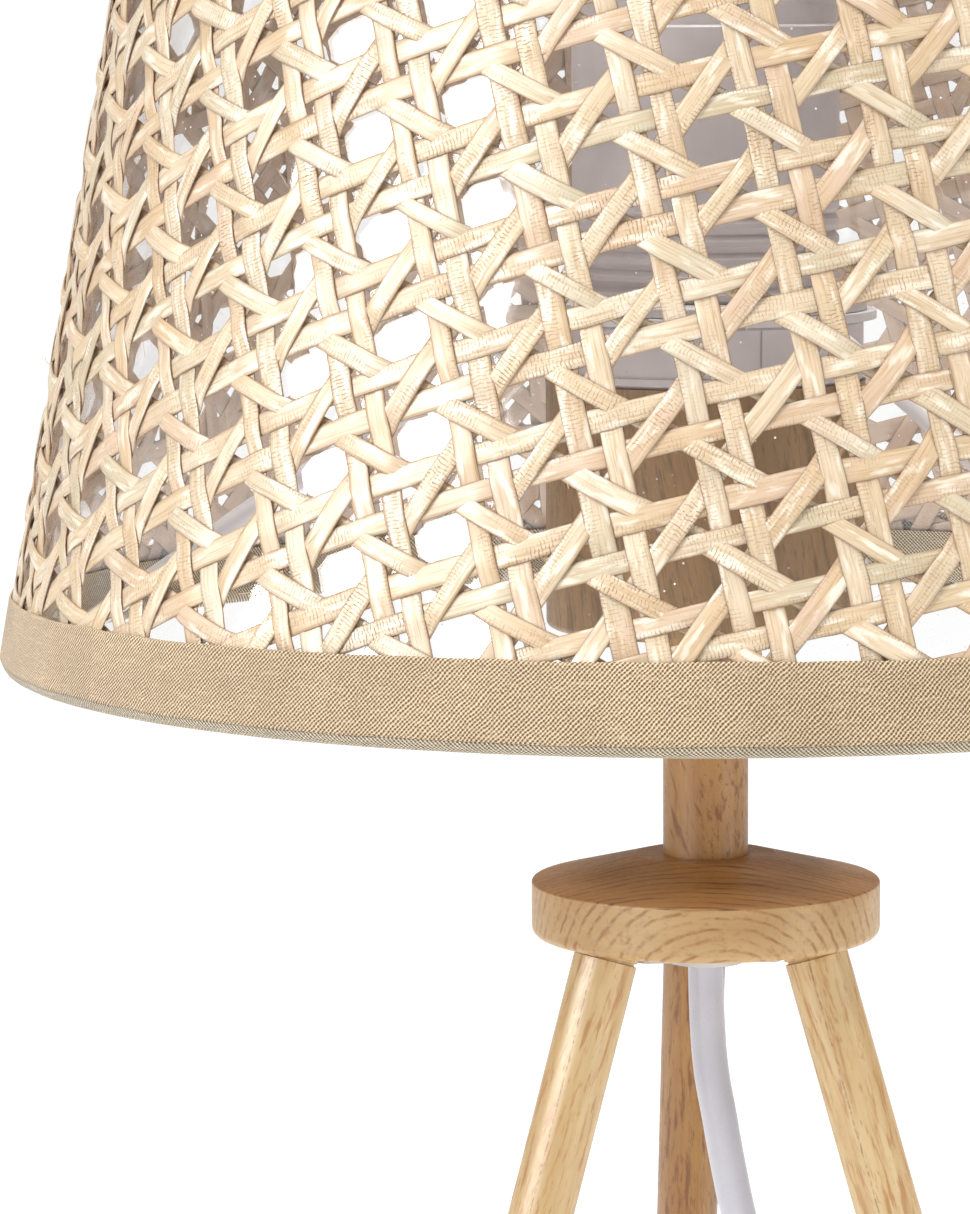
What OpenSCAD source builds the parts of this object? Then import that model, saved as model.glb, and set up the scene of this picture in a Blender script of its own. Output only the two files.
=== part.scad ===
// Tripod table lamp: woven cane drum on a turned stem and three splayed legs.
// Millimetres, +Z up, the front is -Y. The origin is on the lamp's axis, on the surface it stands on.

/* [Legs] */
// Height of the hub's underside above the surface
hub_z = 211.1; // [200:0.1:225]
// Radius of a leg
leg_r = 4.6; // [4.2:0.1:5]
// Angle between a leg and the vertical
leg_splay = 17.4; // [15:0.1:19]
// Distance from the lamp's axis to a leg's axis at the hub's underside
leg_ring_r = 16.85; // [16.5:0.05:17.5]
// Turn of the three legs about the lamp's axis
leg_turn = 5; // [0:1:10]
// Thickness of the foot pads
pad_h = 1.6; // [1:0.1:2]

/* [Hub and stem] */
// Radius of the hub
hub_r = 25.2; // [24.8:0.1:26]
// Height of the hub's upright side
hub_side_h = 8; // [7.5:0.1:8.5]
// Height of the hub's sloping top
hub_slope_h = 3.7; // [3:0.1:4.2]
// Radius of the hub's flat top
hub_flat_r = 10.1; // [9:0.1:12]
// Radius of the pole
pole_r = 6.15; // [5.9:0.05:7]
// Height of the pole
pole_h = 33.2; // [32:0.1:36]

/* [Lampholder] */
// Radius of the wooden cup below the lampholder
cup_r = 22.9; // [22.8:0.1:23.2]
// Height of the wooden cup
cup_h = 35.5; // [34:0.5:37]
// Radius of the lampholder's skirted cap
cap_r = 22.8; // [22.4:0.1:22.8]
// Height of the lampholder's cap
cap_h = 8.6; // [8.4:0.1:9]
// Radius over the lampholder's outer thread
shell_r = 19.05; // [18.9:0.05:19.1]
// Inner radius of the screw shell that takes the bulb's base
socket_r = 13.35; // [13.3:0.01:13.4]

/* [Shade] */
// Height of the shade's lower edge above the hub's top
shade_lift = 28.6; // [28:0.1:32]
// Outer radius of the woven wall at the shade's lower edge
shade_bottom_r = 101; // [99:0.5:103]
// Outer radius of the woven wall at the shade's upper edge
shade_top_r = 74.5; // [72:0.5:77]
// Height of the shade
shade_h = 150; // [145:1:155]
// Height of the fabric trims
trim_h = 11.7; // [11:0.1:13]
// Direction of the first carrier arm, counter-clockwise from +X
arm_turn = 195; // [185:1:205]

/* [Cord] */
// Radius of the cord
cord_r = 2.6; // [2.5:0.05:2.6]

/* [Hidden] */
$fn = 96;

// Small amounts that many pieces share.
gap = 0.1;         // play between fixed neighbours
reach = 20;        // how far a cutting solid runs past what it cuts

// Heights, from the surface up.
hub_top = hub_z + hub_side_h + hub_slope_h;
cup_z = hub_top + pole_h + 0.05;
cap_z = cup_z + cup_h + 0.05;
shoulder_z = cap_z + cap_h;
shade_z = hub_top + shade_lift;
shade_top_z = shade_z + shade_h;

// Legs.
LEFT = 210 + leg_turn;
RIGHT = 330 + leg_turn;
REAR = 90 + leg_turn;
LEGS = [LEFT, RIGHT, REAR];
seat_depth = 3;            // a leg's seat in the hub, along the leg
leg_groove_at = 2;         // the dark groove below the hub, along the leg
groove_w = 0.5;
groove_d = 0.45;
stud_r = 3;
stud_in_hub = 3.2;         // the stud past the end of the leg
stud_in_leg = 14;

// Rod, nuts and the hollow below the hub.
rod_r = 4.95;
rod_bore_r = 3.75;
nut_r = 8.08;              // across the corners, 14 mm across the flats
nut_h = 3.5;
washer_h = 1;
well_r = 8.7;              // recess in the hub's underside
well_h = nut_h + washer_h + 0.3;
plate_corner_at = 10.2;
plate_corner_r = 1.6;
plate_h = 3.2;
grommet_r = 4.3;
grommet_flange_h = 0.9;
cord_exit_z = hub_z - plate_h - grommet_flange_h - 0.2;

// Lampholder.
thread_pitch = 2.5;
thread_depth = 0.65;
thread_turns = 6;
shell_top_z = shoulder_z + 48.9;
shell_step_z = shoulder_z + 41.5;
shell_bore_r = 14.8;
insert_z = shoulder_z + 6;
insert_top_z = shoulder_z + 18.8;
socket_h = 25;
contact_well_r = 5;        // recess in the block's top, for the centre contact
contact_well_h = 2.6;

// Shade wall, from the outside in: trim, cane, liner, trim.
wall_slope = (shade_bottom_r - shade_top_r) / shade_h;
trim_t = 0.45;
cane_t = 0.95;
liner_t = 0.45;
wire_r = 1.4;
roll_r = wire_r + 0.5;
wire_in = 1.5;             // from the wall's outer face to the middle of the wire
arm_r = 1.5;
arm_elbow_r = 1.54;        // a little over the bar's radius, so that it closes the bend
carrier_z = shoulder_z + 0.12;
carrier_h = 1.2;
lock_z = carrier_z + carrier_h + 0.12;
lock_h = 1.6;
carrier_r = 24.4;
// Radius and height above the shoulder of an arm's start, bend and end.
ARM = [[24.2, -0.6], [66, -25.6], [98, -46.7]];

// The cord's route, from the hub down to the switch, on to the coil and on to the plug.
RUN = [[0, 0, 206.8], [0.2, 0, 199], [0.8, 0, 191], [2, 0.2, 184], [3.7, 0.8, 176],
    [6, 1.8, 167], [10, 3.2, 155], [16, 5.5, 140], [23, 8, 123], [31, 10.5, 106],
    [40, 13, 88], [50, 15.5, 69], [61, 17.5, 50], [72.5, 19.5, 33], [82, 21.5, 20.5],
    [90, 24.5, 11.8], [96.5, 29, 6.5], [101.5, 35.5, 3.6], [104.3, 44, 2.8],
    [105, 52.5, 3.6], [105, 61, 5.9], [105, 69, 7]];
MIDDLE = [[105, 167, 7], [105, 175, 5.8], [105, 183, 4], [105, 190, 3.2]];
TAIL = [[41.9, 190, 3.2], [41.6, 180, 2.9], [40.5, 170, 2.7], [38.6, 160, 2.7], [36.3, 150, 3],
    [34.2, 141, 4.3], [32.4, 132, 6], [31.3, 124, 6.8], [31, 117, 6.85]];
cord_sides = 8;

// Coil of two columns of turns, held by a tie.
COIL = [70.8, 190, 0];
coil_in_r = 20.95;
coil_out_r = 31.55;
coil_z = 0.6;
coil_h = 26.45;
tie_turn = 225;
tie_t = 0.5;
tie_w = 5;

// In-line switch.
SWITCH = [105, 118, 0];
switch_l = 56;
switch_w = 25;
switch_h = 14;
switch_split = 7;
switch_wall = 2;
relief_l = 20.5;
relief_big_r = 4.4;
relief_small_r = 3;
rocker_l = 17;
rocker_w = 9.4;
rocker_pivot_z = 9.6;
rocker_pin_r = 1.5;
rocker_tilt = 7;
SWITCH_SCREWS = [[17, 7.2], [-17, -7.2]];

// Plug, lying on its flat side, pins towards -Y.
PLUG = [31, 117, 6.85];
plug_relief_l = 28;
plug_l = 34;
plug_w = 35.3;
plug_t = 13.7;
plug_nose_w = 26;
pin_r = 2;
pin_l = 19;
pin_gap = 18.6;

// Outer radius of the shade's wall at height z.
function wall_r(z) = shade_bottom_r - (z - shade_z) * wall_slope;

// Points of an arc of radius r about c, from angle a to angle b.
function arc(c, r, a, b, n = 5) =
    [for (i = [0:n]) c + r * [cos(a + (b - a) * i / n), sin(a + (b - a) * i / n)]];

// A ring's cross-section that follows the shade's wall, between two depths below its outer face.
module wall_band(z0, z1, outer, inner) {
    rotate_extrude()
        polygon([[wall_r(z0) - inner, z0], [wall_r(z0) - outer, z0],
                 [wall_r(z1) - outer, z1], [wall_r(z1) - inner, z1]]);
}

module tube(r_out, r_in, z0, z1) {
    translate([0, 0, z0])
        difference() {
            cylinder(r = r_out, h = z1 - z0);
            translate([0, 0, -reach])
                cylinder(r = r_in, h = z1 - z0 + 2 * reach);
        }
}

// Puts its children on a leg: +Z runs down the leg from the hub's underside.
module on_leg(turn) {
    rotate([0, 0, turn])
        translate([leg_ring_r, 0, hub_z])
            rotate([0, 180 - leg_splay, 0])
                children();
}

// Puts its children on the plug: +X runs from the cord's end to the pins.
module on_plug() {
    translate(PLUG)
        rotate([0, 0, 270])
            children();
}

// Puts its children on the switch: +X runs along the cord, towards the plug.
module on_switch() {
    translate(SWITCH)
        rotate([0, 0, 90])
            children();
}

// A tube swept along points; side is a direction that the route never takes.
module swept_cord(points, side) {
    n = len(points);
    function along(i) = points[min(i + 1, n - 1)] - points[max(i - 1, 0)];
    function unit(v) = v / norm(v);
    function across(i) = unit(cross(along(i), side));
    function upward(i) = unit(cross(across(i), along(i)));
    rings = [for (i = [0:n - 1], k = [0:cord_sides - 1])
        points[i] + cord_r * (cos(360 * k / cord_sides) * across(i) + sin(360 * k / cord_sides) * upward(i))];
    walls = [for (i = [0:n - 2], k = [0:cord_sides - 1])
        let (j = (k + 1) % cord_sides)
        [i * cord_sides + k, (i + 1) * cord_sides + k, (i + 1) * cord_sides + j, i * cord_sides + j]];
    first = [for (k = [0:cord_sides - 1]) k];
    last = [for (k = [cord_sides - 1:-1:0]) (n - 1) * cord_sides + k];
    polyhedron(points = rings, faces = concat(walls, [first, last]), convexity = 4);
}

module nut(z) {
    translate([0, 0, z])
        difference() {
            cylinder(r = nut_r, h = nut_h, $fn = 6);
            translate([0, 0, -reach])
                cylinder(r = rod_r + 0.05, h = nut_h + 2 * reach);
        }
}

// Turned disc with softened edges, a seat for each leg and a well for the nut.
module hub() {
    soft = 1.3;
    rim = 0.4;
    color("burlywood")
        difference() {
            translate([0, 0, hub_z])
                rotate_extrude()
                    polygon(concat([[0, 0]],
                        arc([hub_r - soft, soft], soft, -90, 0),
                        arc([hub_r - rim, hub_side_h - rim], rim, 0, 76),
                        [[hub_flat_r, hub_side_h + hub_slope_h], [0, hub_side_h + hub_slope_h]]));
            translate([0, 0, hub_z - reach])
                cylinder(r = rod_r + gap, h = 3 * reach);
            translate([0, 0, hub_z - reach])
                cylinder(r = well_r, h = well_h + reach);
            for (turn = LEGS)
                on_leg(turn) {
                    translate([0, 0, -seat_depth - 0.05])
                        cylinder(r = leg_r + gap, h = reach);
                    translate([0, 0, -seat_depth - stud_in_hub - gap])
                        cylinder(r = stud_r + gap, h = reach);
                }
        }
}

module hub_washer() {
    color("silver")
        tube(well_r - 0.3, rod_r + gap, hub_z + well_h - washer_h, hub_z + well_h - 0.02);
}

module hub_nut() {
    color("silver")
        nut(hub_z + well_h - washer_h - nut_h - 0.02);
}

// Round plate that covers the well and holds the cord's grommet.
module hub_underplate() {
    color("gainsboro")
        translate([0, 0, hub_z - plate_h])
            difference() {
                linear_extrude(height = plate_h - 0.02)
                    polygon([for (turn = LEGS)
                        each arc(plate_corner_at * [cos(turn), sin(turn)], plate_corner_r, turn - 60, turn + 60)]);
                translate([0, 0, -reach])
                    cylinder(r = grommet_r + 0.05, h = 3 * reach);
            }
}

module cord_grommet() {
    flange_r = 5.6;
    flange_z = hub_z - plate_h - grommet_flange_h;
    color("whitesmoke")
        union() {
            tube(grommet_r, cord_r + 0.15, flange_z, hub_z - 0.05);
            tube(flange_r, cord_r + 0.15, flange_z, hub_z - plate_h - 0.03);
        }
}

// One leg: a round bar with a turned groove below the hub, cut level at the foot.
module leg(turn) {
    bar_l = hub_z / cos(leg_splay) + reach;
    top_soft = 0.4;
    difference() {
        on_leg(turn)
            difference() {
                rotate_extrude()
                    polygon([[0, -seat_depth], [leg_r - top_soft, -seat_depth],
                        [leg_r, -seat_depth + top_soft], [leg_r, leg_groove_at - groove_w / 2],
                        [leg_r - groove_d, leg_groove_at - groove_w / 4],
                        [leg_r - groove_d, leg_groove_at + groove_w / 4],
                        [leg_r, leg_groove_at + groove_w / 2], [leg_r, bar_l], [0, bar_l]]);
                translate([0, 0, -seat_depth - reach])
                    cylinder(r = stud_r + 0.05, h = stud_in_leg + reach + gap);
            }
        translate([-250, -250, -100])
            cube([500, 500, 100 + pad_h + 0.02]);
    }
}

module leg_left() {
    color("wheat")
        leg(LEFT);
}

module leg_right() {
    color("wheat")
        leg(RIGHT);
}

module leg_rear() {
    color("peru")
        leg(REAR);
}

// Steel studs that hold the legs in the hub.
module leg_studs() {
    color("silver")
        for (turn = LEGS)
            on_leg(turn)
                translate([0, 0, -seat_depth - stud_in_hub])
                    cylinder(r = stud_r, h = stud_in_hub + stud_in_leg);
}

// Felt pads under the level foot of each leg.
module foot_pads() {
    foot_r = leg_ring_r + (hub_z - pad_h / 2) * tan(leg_splay);
    color("dimgray")
        for (turn = LEGS)
            rotate([0, 0, turn])
                translate([foot_r, 0, 0])
                    cylinder(r = leg_r - 0.2, h = pad_h);
}

module pole() {
    color("tan")
        tube(pole_r, rod_r + gap, hub_top + 0.02, hub_top + pole_h);
}

// Hollow rod that ties the hub, the pole, the cup and the lampholder together.
module threaded_rod() {
    color("silver")
        tube(rod_r, rod_bore_r, hub_z + gap, cap_z + 3.6);
}

// Round wooden cup, open at the top, that hides the lampholder's wiring.
module socket_cup() {
    soft = 1;
    cup_wall = 2.3;
    cup_floor = 4;
    color("sienna")
        translate([0, 0, cup_z])
            difference() {
                rotate_extrude()
                    polygon(concat([[0, 0]], arc([cup_r - soft, soft], soft, -90, 0),
                        [[cup_r, cup_h], [0, cup_h]]));
                translate([0, 0, cup_floor])
                    cylinder(r = cup_r - cup_wall, h = cup_h);
                translate([0, 0, -reach])
                    cylinder(r = rod_r + gap, h = cup_h + 2 * reach);
            }
}

module cup_washer() {
    color("silver")
        tube(9.5, rod_r + gap, cup_z + 4.02, cup_z + 4 + washer_h);
}

module cup_nut() {
    color("silver")
        nut(cup_z + 4.02 + washer_h);
}

// Skirted cap of the lampholder, with a neck for the rod and one upright seam.
module holder_cap() {
    bead = 0.5;
    cap_floor = 2;
    neck_r = 8;
    neck_h = 7;
    lip_h = 1.6;
    cavity_r = 20.7;
    seam_w = 0.35;
    seam_turn = 290;
    color("lightgray")
        difference() {
            union() {
                translate([0, 0, cap_z])
                    rotate_extrude()
                        polygon([[0, 0], [cap_r - bead, 0], [cap_r, bead], [cap_r, 1.4],
                            [cap_r - 0.25, 1.55], [cap_r - 0.25, cap_h - 0.4],
                            [cap_r - 0.65, cap_h], [0, cap_h]]);
                translate([0, 0, cap_z - neck_h])
                    cylinder(r = neck_r, h = neck_h + 1);
            }
            translate([0, 0, cap_z + cap_floor])
                cylinder(r = cavity_r, h = cap_h - cap_floor - lip_h);
            translate([0, 0, cap_z + cap_floor])
                cylinder(r = shell_r + gap, h = cap_h);
            translate([0, 0, cap_z - neck_h - reach])
                cylinder(r = rod_r + 0.05, h = neck_h + 2 * reach);
            rotate([0, 0, seam_turn])
                translate([cap_r - 0.5, -seam_w / 2, cap_z + 1.6])
                    cube([reach, seam_w, cap_h]);
        }
}

// Barrel of the lampholder, with a flange in the cap and an outer thread for the shade's ring.
module holder_shell() {
    flange_r = 20.6;
    flange_h = 2.4;
    flange_z = shoulder_z - 1.6 - flange_h - 0.05;
    thread_z = shoulder_z + 0.2;
    root_r = shell_r - thread_depth;
    ribs = [for (i = [0:thread_turns - 1]) let (z = thread_z + i * thread_pitch)
        each [[root_r, z], [shell_r, z + 0.9], [shell_r, z + 1.6], [root_r, z + thread_pitch]]];
    step = 0.35;
    color("lightgray")
        difference() {
            rotate_extrude()
                polygon(concat([[shell_bore_r, flange_z], [flange_r, flange_z],
                    [flange_r, flange_z + flange_h], [root_r, flange_z + flange_h]],
                    ribs,
                    [[shell_r, thread_z + thread_turns * thread_pitch + 0.7],
                    [shell_r, shell_step_z], [shell_r - step, shell_step_z + step],
                    [shell_r - step, shell_top_z - 0.8], [shell_r - step - 0.8, shell_top_z],
                    [shell_bore_r, shell_top_z]]));
        }
}

// Insulating block that carries the contacts.
module holder_insert() {
    screw_holes = [7, -7];
    color("whitesmoke")
        difference() {
            translate([0, 0, insert_z])
                cylinder(r = shell_bore_r - gap, h = insert_top_z - insert_z);
            for (x = screw_holes)
                translate([x, 0, insert_z - reach])
                    cylinder(r = 1.6, h = reach + 6.1);
            translate([0, 0, insert_top_z - contact_well_h])
                cylinder(r = contact_well_r, h = reach);
        }
}

module holder_leads() {
    color("saddlebrown")
        for (x = [2, -2])
            translate([x, 0, cap_z + 3.65])
                cylinder(r = 1.1, h = insert_z - cap_z - 3.7);
}

module terminal_screws() {
    color("gold")
        for (x = [7, -7])
            translate([x, 0, insert_z])
                union() {
                    translate([0, 0, -0.05])
                        cylinder(r = 1.5, h = 6);
                    translate([0, 0, -1.5])
                        cylinder(r = 2.4, h = 1.48);
                }
}

// Brass shell that takes the bulb's screw base, as a plain bore.
module screw_shell() {
    shell_t = 0.45;
    color("gold")
        tube(socket_r + shell_t, socket_r, insert_top_z + 0.02, insert_top_z + socket_h);
}

module centre_contact() {
    color("gold")
        translate([0, 0, insert_top_z - contact_well_h + 0.02])
            union() {
                cylinder(r = 4.2, h = 0.6);
                cylinder(r = 2.6, h = 2.2);
            }
}

// Thin ring nut on the lampholder's thread, above the shade's ring.
module shade_lock_ring() {
    ring_r = 23;
    soft = 0.4;
    inner_r = shell_r + 0.08;
    color("whitesmoke")
        translate([0, 0, lock_z])
            rotate_extrude()
                polygon([[inner_r, 0], [ring_r, 0], [ring_r, lock_h - soft],
                    [ring_r - soft, lock_h], [inner_r, lock_h]]);
}

// Flat ring that sits on the lampholder's shoulder and carries the arms.
module carrier_ring() {
    color("white")
        tube(carrier_r, shell_r + 0.35, carrier_z, carrier_z + carrier_h);
}

// Round bar between two points given as [radius, height above the shoulder].
module arm_bar(a, b) {
    d = b - a;
    translate([a[0], 0, shoulder_z + a[1]])
        rotate([0, 90 - atan2(d[1], d[0]), 0])
            cylinder(r = arm_r, h = norm(d));
}

// One bent arm from the carrier ring down to the bottom ring.
module carrier_arm(i) {
    color("white")
        rotate([0, 0, arm_turn + 120 * i])
            union() {
                arm_bar(ARM[0], ARM[1]);
                arm_bar(ARM[1], ARM[2]);
                translate([ARM[1][0], 0, shoulder_z + ARM[1][1]])
                    sphere(r = arm_elbow_r);
            }
}

module wire_ring(z) {
    color("white")
        translate([0, 0, z])
            rotate_extrude()
                translate([wall_r(z) - wire_in, 0])
                    circle(r = wire_r);
}

module bottom_ring() {
    wire_ring(shade_z + roll_r);
}

module top_ring() {
    wire_ring(shade_top_z - roll_r);
}

// Clear sheet rolled to a cone inside the cane.
module shade_liner() {
    liner_out = cane_t + 0.12;
    color("lavender", 0.4)
        wall_band(shade_z + 2 * roll_r + 0.1, shade_top_z - 2 * roll_r - 0.1,
            liner_out, liner_out + liner_t);
}

// The woven cane as one closed wall of its true outer shape.
module cane_webbing() {
    color("moccasin")
        wall_band(shade_z + 2 * roll_r + 0.1, shade_top_z - 2 * roll_r - 0.1, 0, cane_t);
}

// Fabric strip folded round a wire ring, over both faces of the wall.
module trim(edge_z, ring_z, far_z) {
    inner_face = cane_t + liner_t + 0.2;
    low = min(far_z, ring_z);
    high = max(far_z, ring_z);
    tuck = 5;
    inner_low = far_z > ring_z ? ring_z + roll_r : ring_z - roll_r - tuck;
    color("darkkhaki")
        union() {
            wall_band(low, high, -trim_t, -0.02);
            wall_band(inner_low - 0.3, inner_low + tuck + 0.3, inner_face, inner_face + trim_t);
            translate([0, 0, ring_z])
                rotate_extrude()
                    translate([wall_r(ring_z) - wire_in, 0])
                        difference() {
                            circle(r = roll_r);
                            circle(r = wire_r + 0.05);
                        }
        }
}

module bottom_trim() {
    trim(shade_z, shade_z + roll_r, shade_z + trim_h);
}

module top_trim() {
    trim(shade_top_z, shade_top_z - roll_r, shade_top_z - trim_h);
}

// The cord inside the rod.
module cord_inner() {
    color("lavender")
        translate([0, 0, RUN[0][2]])
            cylinder(r = cord_r, h = cap_z + 3.6 - RUN[0][2]);
}

// From the hub to the switch.
module cord_run() {
    color("lavender")
        swept_cord(RUN, [1, 0, 0.35]);
}

// From the switch to the coil.
module cord_middle() {
    color("lavender")
        swept_cord(MIDDLE, [1, 0, 0]);
}

// Outer shape of the coiled length.
module cord_coil() {
    color("lavender")
        translate(COIL)
            rotate_extrude()
                translate([coil_in_r, coil_z])
                    square([coil_out_r - coil_in_r, coil_h]);
}

// Flat strap round the bundle of turns.
module cord_tie() {
    play = 0.2;
    bundle_w = coil_out_r - coil_in_r + 2 * play;
    color("white")
        translate(COIL)
            rotate([0, 0, tie_turn])
                translate([(coil_in_r + coil_out_r) / 2, 0, coil_z + coil_h / 2])
                    difference() {
                        cube([bundle_w + 2 * tie_t, tie_w, coil_h + 2 * tie_t + 0.04], center = true);
                        cube([bundle_w, 2 * tie_w, coil_h + 0.04], center = true);
                    }
}

// From the coil to the plug.
module cord_tail() {
    color("lavender")
        swept_cord(TAIL, [1, 0, 0]);
}

// Outline of the switch: a bar with round ends.
module switch_outline(inset) {
    end_r = switch_w / 2;
    end_x = switch_l / 2 - end_r;
    union() {
        square([2 * end_x, switch_w - 2 * inset], center = true);
        for (x = [-end_x, end_x])
            translate([x, 0])
                circle(r = end_r - inset);
    }
}

// Straight holes for the cord through both ends, on the line where the halves meet.
module switch_cord_holes() {
    translate([-switch_l, 0, switch_split])
        rotate([0, 90, 0])
            cylinder(r = cord_r + gap, h = 2 * switch_l);
}

// Lower half, with two ears for the rocker's pins.
module switch_base() {
    ear_t = 2;
    ear_y = rocker_w / 2 + 0.5;
    ear_w = 5;
    ear_top = rocker_pivot_z + 2;
    color("white")
        on_switch()
            difference() {
                union() {
                    difference() {
                        linear_extrude(height = switch_split)
                            switch_outline(0);
                        translate([0, 0, switch_wall])
                            linear_extrude(height = switch_split)
                                switch_outline(switch_wall);
                    }
                    for (side = [-1, 1])
                        translate([-ear_w / 2, side * (ear_y + ear_t / 2) - ear_t / 2, switch_wall - 0.5])
                            cube([ear_w, ear_t, ear_top - switch_wall + 0.5]);
                    for (p = SWITCH_SCREWS)
                        translate([p[0], p[1], switch_wall - 0.5])
                            cylinder(r = 3, h = switch_split - switch_wall + 0.45);
                }
                translate([0, reach, rocker_pivot_z])
                    rotate([90, 0, 0])
                        cylinder(r = rocker_pin_r + 0.07, h = 2 * reach);
                for (p = SWITCH_SCREWS)
                    translate([p[0], p[1], -reach])
                        cylinder(r = 1.4, h = 2 * reach);
                for (p = SWITCH_SCREWS)
                    translate([p[0], p[1], -reach])
                        cylinder(r = 2.6, h = reach + 1.6);
                switch_cord_holes();
            }
}

// Upper half, with the rocker's opening.
module switch_cover() {
    roof = 1.8;
    soft = 1.6;
    color("white")
        on_switch()
            difference() {
                union() {
                    difference() {
                        translate([0, 0, switch_split + 0.05])
                            union() {
                                linear_extrude(height = switch_h - switch_split - soft)
                                    switch_outline(0);
                                linear_extrude(height = switch_h - switch_split - soft / 2)
                                    switch_outline(0.5);
                                linear_extrude(height = switch_h - switch_split - 0.05)
                                    switch_outline(soft);
                            }
                        translate([0, 0, switch_split - 1])
                            linear_extrude(height = switch_h - switch_split - roof + 1)
                                switch_outline(switch_wall);
                    }
                    for (p = SWITCH_SCREWS)
                        translate([p[0], p[1], switch_split + 0.05])
                            cylinder(r = 3, h = switch_h - switch_split - roof + 0.3);
                }
                translate([-rocker_l / 2 - 0.9, -rocker_w / 2 - 0.4, switch_split])
                    cube([rocker_l + 1.8, rocker_w + 0.8, switch_h]);
                for (p = SWITCH_SCREWS)
                    translate([p[0], p[1], switch_split - reach])
                        cylinder(r = 1.3, h = reach + 4);
                switch_cord_holes();
            }
}

// Rocker with a shallow V-shaped top, resting on one side.
module switch_rocker() {
    end_h = 5.6;
    mid_h = 4.55;
    low_h = -1.8;
    half = rocker_l / 2;
    color("white")
        on_switch()
            translate([0, 0, rocker_pivot_z])
                rotate([0, rocker_tilt, 0])
                    union() {
                        translate([0, rocker_w / 2, 0])
                            rotate([90, 0, 0])
                                linear_extrude(height = rocker_w)
                                    polygon([[-half + 3, low_h], [half - 3, low_h], [half, 1],
                                        [half, end_h], [0, mid_h], [-half, end_h], [-half, 1]]);
                        translate([0, rocker_w / 2 + 2.3, 0])
                            rotate([90, 0, 0])
                                cylinder(r = rocker_pin_r, h = rocker_w + 4.6);
                    }
}

module switch_screws() {
    color("silver")
        on_switch()
            for (p = SWITCH_SCREWS)
                translate([p[0], p[1], 0])
                    union() {
                        translate([0, 0, 0.1])
                            cylinder(r = 2.4, h = 1.4);
                        translate([0, 0, 0.2])
                            cylinder(r = 1.2, h = 10);
                    }
}

// Tapered reliefs at both ends of the switch.
module switch_reliefs() {
    color("white")
        on_switch()
            for (side = [0, 180])
                rotate([0, 0, side])
                    translate([switch_l / 2 + 0.05, 0, switch_split])
                        rotate([0, 90, 0])
                            cylinder(r1 = relief_big_r, r2 = relief_small_r, h = relief_l - 0.05);
}

module plug_relief() {
    color("white")
        on_plug()
            translate([0.4, 0, 0])
                rotate([0, 90, 0])
                    cylinder(r1 = relief_small_r, r2 = 4.8, h = plug_relief_l - 0.45);
}

// Flat plug body, narrower at the cord and at the pins.
module plug_body() {
    back_w = 14;
    shoulder = 12;
    nose = 5;
    pin_seat = 8;
    color("white")
        on_plug()
            translate([plug_relief_l, 0, -plug_t / 2])
                difference() {
                    linear_extrude(height = plug_t)
                        polygon([[0, -back_w / 2], [shoulder, -plug_w / 2], [plug_l - nose, -plug_w / 2],
                            [plug_l, -plug_nose_w / 2], [plug_l, plug_nose_w / 2],
                            [plug_l - nose, plug_w / 2], [shoulder, plug_w / 2], [0, back_w / 2]]);
                    for (side = [-1, 1])
                        translate([plug_l - pin_seat, side * pin_gap / 2, plug_t / 2])
                            rotate([0, 90, 0])
                                cylinder(r = pin_r + 0.05, h = reach);
                }
}

// Two round pins with rounded tips.
module plug_pins() {
    tip = 1;
    seat = 7.9;
    color("silver")
        on_plug()
            for (side = [-1, 1])
                translate([plug_relief_l + plug_l - seat, side * pin_gap / 2, 0])
                    rotate([0, 90, 0])
                        union() {
                            cylinder(r = pin_r, h = pin_l + seat - tip);
                            translate([0, 0, pin_l + seat - tip])
                                cylinder(r1 = pin_r, r2 = pin_r - 0.8, h = tip);
                        }
}

hub();
hub_washer();
hub_nut();
hub_underplate();
cord_grommet();
leg_left();
leg_right();
leg_rear();
leg_studs();
foot_pads();
pole();
threaded_rod();
socket_cup();
cup_washer();
cup_nut();
holder_cap();
holder_shell();
holder_insert();
holder_leads();
terminal_screws();
screw_shell();
centre_contact();
shade_lock_ring();
carrier_ring();
carrier_arm(0);  // carrier_arm_1
carrier_arm(1);  // carrier_arm_2
carrier_arm(2);  // carrier_arm_3
bottom_ring();
top_ring();
shade_liner();
cane_webbing();
bottom_trim();
top_trim();
cord_inner();
cord_run();
cord_middle();
cord_coil();
cord_tie();
cord_tail();
switch_base();
switch_cover();
switch_rocker();
switch_screws();
switch_reliefs();
plug_relief();
plug_body();
plug_pins();
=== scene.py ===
"""Tripod lamp with a woven cane shade: its materials, weave, fabric trims, cord and studio."""

import math
import random

import bpy
import numpy as np
from mathutils import Matrix, Vector


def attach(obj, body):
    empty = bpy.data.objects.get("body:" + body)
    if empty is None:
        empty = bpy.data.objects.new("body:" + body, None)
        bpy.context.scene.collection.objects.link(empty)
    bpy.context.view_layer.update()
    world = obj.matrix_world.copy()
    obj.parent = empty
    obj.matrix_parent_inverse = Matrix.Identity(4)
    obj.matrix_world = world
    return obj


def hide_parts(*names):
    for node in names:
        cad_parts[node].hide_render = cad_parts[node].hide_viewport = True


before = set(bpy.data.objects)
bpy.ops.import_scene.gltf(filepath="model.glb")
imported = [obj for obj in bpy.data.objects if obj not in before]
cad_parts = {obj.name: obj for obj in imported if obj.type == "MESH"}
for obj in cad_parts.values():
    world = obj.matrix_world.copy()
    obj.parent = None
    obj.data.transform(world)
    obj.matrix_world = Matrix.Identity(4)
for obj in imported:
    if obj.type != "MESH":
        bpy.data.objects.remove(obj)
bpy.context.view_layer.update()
random.seed(7)
rng = np.random.default_rng(7)
MM = 0.001
TAU = 2 * math.pi


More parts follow.
